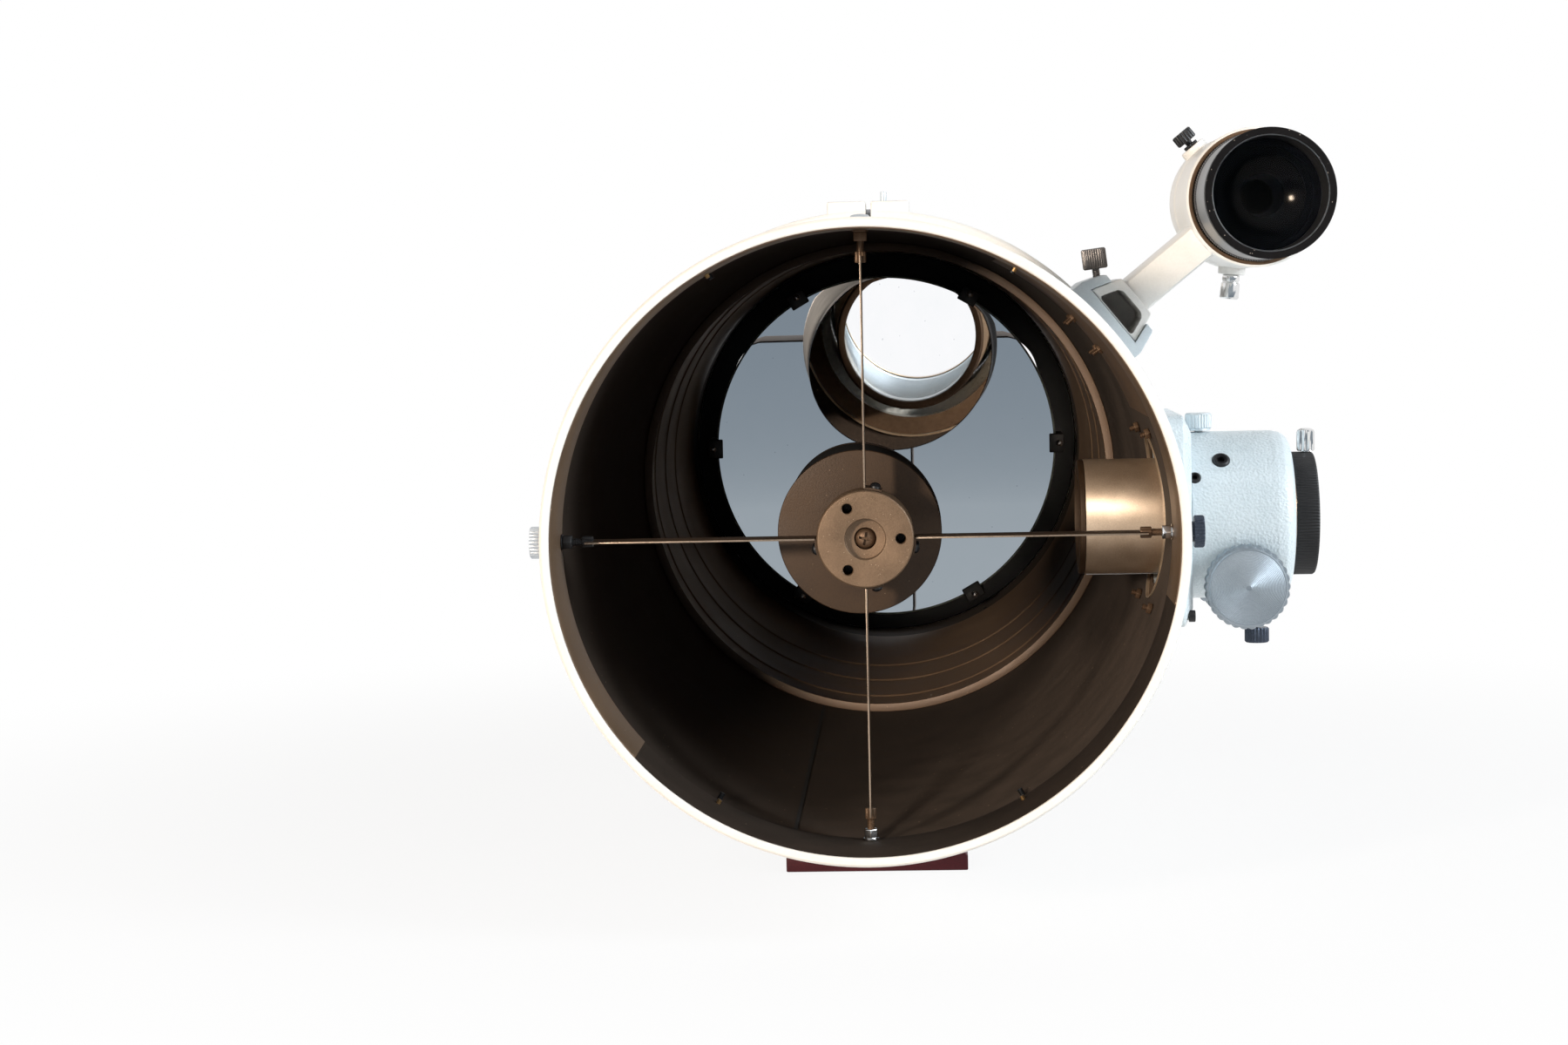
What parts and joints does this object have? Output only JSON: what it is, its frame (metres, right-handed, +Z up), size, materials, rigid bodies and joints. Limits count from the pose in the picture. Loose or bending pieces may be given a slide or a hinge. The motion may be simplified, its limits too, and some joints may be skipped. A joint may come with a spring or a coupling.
{
  "type": "newtonian telescope tube",
  "caption": "Newtonian reflector tube with tilting primary mirror, spider and secondary, roller focuser, finder scope on a sliding bracket, hinged tube clamps and a wide dovetail plate.",
  "frame": {"origin": "middle of the dovetail plate's bottom face", "axes": "+Y from the open front towards the primary mirror, +X towards the focuser, +Z up"},
  "size_m": [0.4017, 0.9746, 0.3851],
  "materials": {
    "black_anodised": "black anodised",
    "chrome": "polished chrome plate",
    "coated_lens": "coated glass",
    "dark_red_anodised": "dark red anodised, satin",
    "hammered_paint": "pale hammered paint on a casting",
    "rubber": "matt",
    "satin_aluminium": "satin, knurled where turned by hand",
    "satin_bronze": "satin black anodised, bronze in warm light",
    "silvered_glass": "aluminised front surface",
    "spring_steel": "plain steel",
    "white_casting": "white powder coat on a casting",
    "white_paint": "gloss white powder coat"
  },
  "bodies": {
    "tube": {"main_tube": "white_paint", "front_end_ring": "white_casting", "rear_end_ring": "white_casting", "baffle_ring": "black_anodised", "mirror_cell": "black_anodised", "mirror_spring_1": "spring_steel", "mirror_spring_2": "spring_steel", "mirror_spring_3": "spring_steel", "spider_hub": "satin_bronze", "spider_vane_right": "satin_bronze", "spider_vane_top": "satin_bronze", "spider_vane_left": "satin_bronze", "spider_vane_bottom": "satin_bronze", "secondary_bolt": "satin_aluminium", "focuser_base": "hammered_paint", "focuser_body": "hammered_paint", "pressure_block": "satin_aluminium", "finder_shoe": "white_casting", "front_clamp_cradle": "white_casting", "rear_clamp_cradle": "white_casting", "dovetail_plate": "dark_red_anodised"},
    "mirror": {"primary_mirror": "silvered_glass", "mirror_carrier": "black_anodised"},
    "secondary": {"secondary_holder": "black_anodised", "secondary_mirror": "silvered_glass"},
    "focus_drive": {"focus_shaft": "chrome", "focus_knob_front": "satin_aluminium", "focus_knob_rear": "satin_aluminium"},
    "focus_tube": {"drawtube": "satin_bronze", "eyepiece_clamp_ring": "black_anodised"},
    "finder_carrier": {"finder_bracket": "white_casting", "plunger_barrel": "chrome"},
    "finder": {"finder_tube": "white_casting", "finder_eyepiece": "black_anodised", "finder_o_ring": "rubber"},
    "finder_objective": {"finder_objective_cell": "black_anodised", "finder_objective_lens": "coated_lens"},
    "collimation_knob_1": {"collimation_knob_1": "satin_aluminium"},
    "collimation_knob_2": {"collimation_knob_2": "satin_aluminium"},
    "collimation_knob_3": {"collimation_knob_3": "satin_aluminium"},
    "spider_knob_right": {"spider_knob_right": "satin_aluminium"},
    "spider_knob_top": {"spider_knob_top": "satin_aluminium"},
    "spider_knob_left": {"spider_knob_left": "satin_aluminium"},
    "spider_knob_bottom": {"spider_knob_bottom": "satin_aluminium"},
    "focuser_roller_inner_front": {"focuser_roller_inner_front": "chrome"},
    "focuser_roller_inner_rear": {"focuser_roller_inner_rear": "chrome"},
    "focuser_roller_outer_front": {"focuser_roller_outer_front": "chrome"},
    "focuser_roller_outer_rear": {"focuser_roller_outer_rear": "chrome"},
    "eyepiece_clamp_screw": {"eyepiece_clamp_screw": "chrome"},
    "tension_screw": {"tension_screw": "black_anodised"},
    "drawtube_lock_screw": {"drawtube_lock_screw": "satin_aluminium"},
    "shoe_thumbscrew": {"shoe_thumbscrew": "satin_aluminium"},
    "finder_lock_ring": {"finder_lock_ring": "black_anodised"},
    "finder_adjuster_left": {"finder_adjuster_left": "black_anodised"},
    "finder_adjuster_right": {"finder_adjuster_right": "black_anodised"},
    "plunger_pin": {"plunger_pin": "chrome"},
    "front_clamp_jaw": {"front_clamp_jaw": "white_casting"},
    "rear_clamp_jaw": {"rear_clamp_jaw": "white_casting"},
    "front_clamp_bolt": {"front_clamp_bolt": "spring_steel"},
    "rear_clamp_bolt": {"rear_clamp_bolt": "spring_steel"}
  },
  "joints": [
    {"name": "focus_knob_turn", "type": "hinge", "parent": "tube", "child": "focus_drive", "pos_m": [0.18455, -0.279, 0.15485], "axis": [0, 1, 0], "range_deg": [0, 860]},
    {"name": "focus_travel", "type": "slide", "parent": "tube", "child": "focus_tube", "axis": [1, 0, 0], "range_m": [0, 0.045]},
    {"name": "focuser_roller_inner_front_turn", "type": "hinge", "parent": "tube", "child": "focuser_roller_inner_front", "pos_m": [0.17155, -0.30315, 0.21115], "axis": [0, -0.7071, -0.7071], "range_deg": [0, 520]},
    {"name": "focuser_roller_inner_rear_turn", "type": "hinge", "parent": "tube", "child": "focuser_roller_inner_rear", "pos_m": [0.17155, -0.25485, 0.21115], "axis": [0, -0.7071, 0.7071], "range_deg": [0, 520]},
    {"name": "focuser_roller_outer_front_turn", "type": "hinge", "parent": "tube", "child": "focuser_roller_outer_front", "pos_m": [0.19755, -0.30315, 0.21115], "axis": [0, -0.7071, -0.7071], "range_deg": [0, 520]},
    {"name": "focuser_roller_outer_rear_turn", "type": "hinge", "parent": "tube", "child": "focuser_roller_outer_rear", "pos_m": [0.19755, -0.25485, 0.21115], "axis": [0, -0.7071, 0.7071], "range_deg": [0, 520]},
    {"name": "eyepiece_clamp_screw_turn", "type": "hinge", "parent": "focus_tube", "child": "eyepiece_clamp_screw", "pos_m": [0.2192, -0.279, 0.218], "axis": [0, 0, 1], "range_deg": [-360, 360]},
    {"name": "tension_screw_turn", "type": "hinge", "parent": "tube", "child": "tension_screw", "pos_m": [0.19405, -0.279, 0.1422], "axis": [0, 0, -1], "range_deg": [-360, 360]},
    {"name": "drawtube_lock_turn", "type": "hinge", "parent": "tube", "child": "drawtube_lock_screw", "pos_m": [0.1658, -0.279, 0.2288], "axis": [0, 0, 1], "range_deg": [-360, 360]},
    {"name": "shoe_thumbscrew_turn", "type": "hinge", "parent": "tube", "child": "shoe_thumbscrew", "pos_m": [0.11831, -0.248, 0.30343], "axis": [-0.1219, 0, 0.9925], "range_deg": [-360, 360]},
    {"name": "finder_slide", "type": "slide", "parent": "tube", "child": "finder_carrier", "axis": [0, -1, 0], "range_m": [0, 0.06]},
    {"name": "finder_tilt", "type": "hinge", "parent": "finder_carrier", "child": "finder", "pos_m": [0.19522, -0.28, 0.34508], "axis": [1, 0, 0], "range_deg": [-1, 1]},
    {"name": "finder_adjuster_left_travel", "type": "slide", "parent": "finder_carrier", "child": "finder_adjuster_left", "axis": [-0.6293, 0, 0.7771], "range_m": [-0.00121, 0.00121]},
    {"name": "finder_adjuster_right_travel", "type": "slide", "parent": "finder_carrier", "child": "finder_adjuster_right", "axis": [0.9563, 0, 0.2924], "range_m": [-0.00052, 0.00052]},
    {"name": "plunger_travel", "type": "slide", "parent": "finder_carrier", "child": "plunger_pin", "axis": [-0.1045, 0, -0.9945], "range_m": [-0.00153, 0.00153]},
    {"name": "finder_focus", "type": "slide", "parent": "finder", "child": "finder_objective", "axis": [0, -1, 0], "range_m": [0, 0.004]},
    {"name": "finder_lock_ring_turn", "type": "hinge", "parent": "finder", "child": "finder_lock_ring", "pos_m": [0.19522, -0.2975, 0.34508], "axis": [0, 1, 0], "range_deg": [-180, 180]},
    {"name": "front_clamp_open", "type": "hinge", "parent": "tube", "child": "front_clamp_jaw", "pos_m": [-0.05616, -0.128, 0.0327], "axis": [0, -1, 0], "range_deg": [0, 50]},
    {"name": "front_clamp_bolt_turn", "type": "hinge", "parent": "front_clamp_jaw", "child": "front_clamp_bolt", "pos_m": [-0.0225, -0.128, 0.3447], "axis": [1, 0, 0], "range_deg": [-360, 360]},
    {"name": "rear_clamp_open", "type": "hinge", "parent": "tube", "child": "rear_clamp_jaw", "pos_m": [-0.05616, 0.144, 0.0327], "axis": [0, -1, 0], "range_deg": [0, 50]},
    {"name": "rear_clamp_bolt_turn", "type": "hinge", "parent": "rear_clamp_jaw", "child": "rear_clamp_bolt", "pos_m": [-0.0225, 0.144, 0.3447], "axis": [1, 0, 0], "range_deg": [-360, 360]},
    {"name": "secondary_turn", "type": "hinge", "parent": "tube", "child": "secondary", "pos_m": [0, -0.352, 0.187], "axis": [0, 1, 0], "range_deg": [-10, 10]},
    {"name": "collimation_knob_1_turn", "type": "hinge", "parent": "tube", "child": "collimation_knob_1", "pos_m": [0, 0.5013, 0.287], "axis": [0, 1, 0], "range_deg": [-480, 480]},
    {"name": "collimation_knob_2_turn", "type": "hinge", "parent": "tube", "child": "collimation_knob_2", "pos_m": [-0.0866, 0.5013, 0.137], "axis": [0, 1, 0], "range_deg": [-480, 480]},
    {"name": "collimation_knob_3_turn", "type": "hinge", "parent": "tube", "child": "collimation_knob_3", "pos_m": [0.0866, 0.5013, 0.137], "axis": [0, 1, 0], "range_deg": [-480, 480]},
    {"name": "mirror_tilt", "type": "hinge", "parent": "tube", "child": "mirror", "pos_m": [0, 0.5023, 0.137], "axis": [1, 0, 0], "range_deg": [-0.5, 0.5], "deforming": ["mirror_spring_1", "mirror_spring_2", "mirror_spring_3"]},
    {"name": "spider_knob_right_turn", "type": "hinge", "parent": "tube", "child": "spider_knob_right", "pos_m": [0.1495, -0.3832, 0.187], "axis": [1, 0, 0], "range_deg": [-360, 360]},
    {"name": "spider_knob_top_turn", "type": "hinge", "parent": "tube", "child": "spider_knob_top", "pos_m": [0, -0.3832, 0.3365], "axis": [0, 0, 1], "range_deg": [-360, 360]},
    {"name": "spider_knob_left_turn", "type": "hinge", "parent": "tube", "child": "spider_knob_left", "pos_m": [-0.1495, -0.3832, 0.187], "axis": [-1, 0, 0], "range_deg": [-360, 360]},
    {"name": "spider_knob_bottom_turn", "type": "hinge", "parent": "tube", "child": "spider_knob_bottom", "pos_m": [0, -0.3832, 0.0375], "axis": [0, 0, -1], "range_deg": [-360, 360]}
  ],
  "couplings": [
    {"joint": "focus_knob_turn", "follows": "focus_travel", "rad_per_m": 333.33},
    {"joint": "focuser_roller_inner_front_turn", "follows": "focus_travel", "rad_per_m": 200},
    {"joint": "focuser_roller_inner_rear_turn", "follows": "focus_travel", "rad_per_m": 200},
    {"joint": "focuser_roller_outer_front_turn", "follows": "focus_travel", "rad_per_m": 200},
    {"joint": "focuser_roller_outer_rear_turn", "follows": "focus_travel", "rad_per_m": 200},
    {"joint": "finder_adjuster_left_travel", "follows": "finder_tilt", "m_per_rad": 0.063726},
    {"joint": "finder_adjuster_right_travel", "follows": "finder_tilt", "m_per_rad": 0.023974},
    {"joint": "plunger_travel", "follows": "finder_tilt", "m_per_rad": -0.081551},
    {"joint": "collimation_knob_1_turn", "follows": "mirror_tilt", "ratio": -942.48}
  ]
}
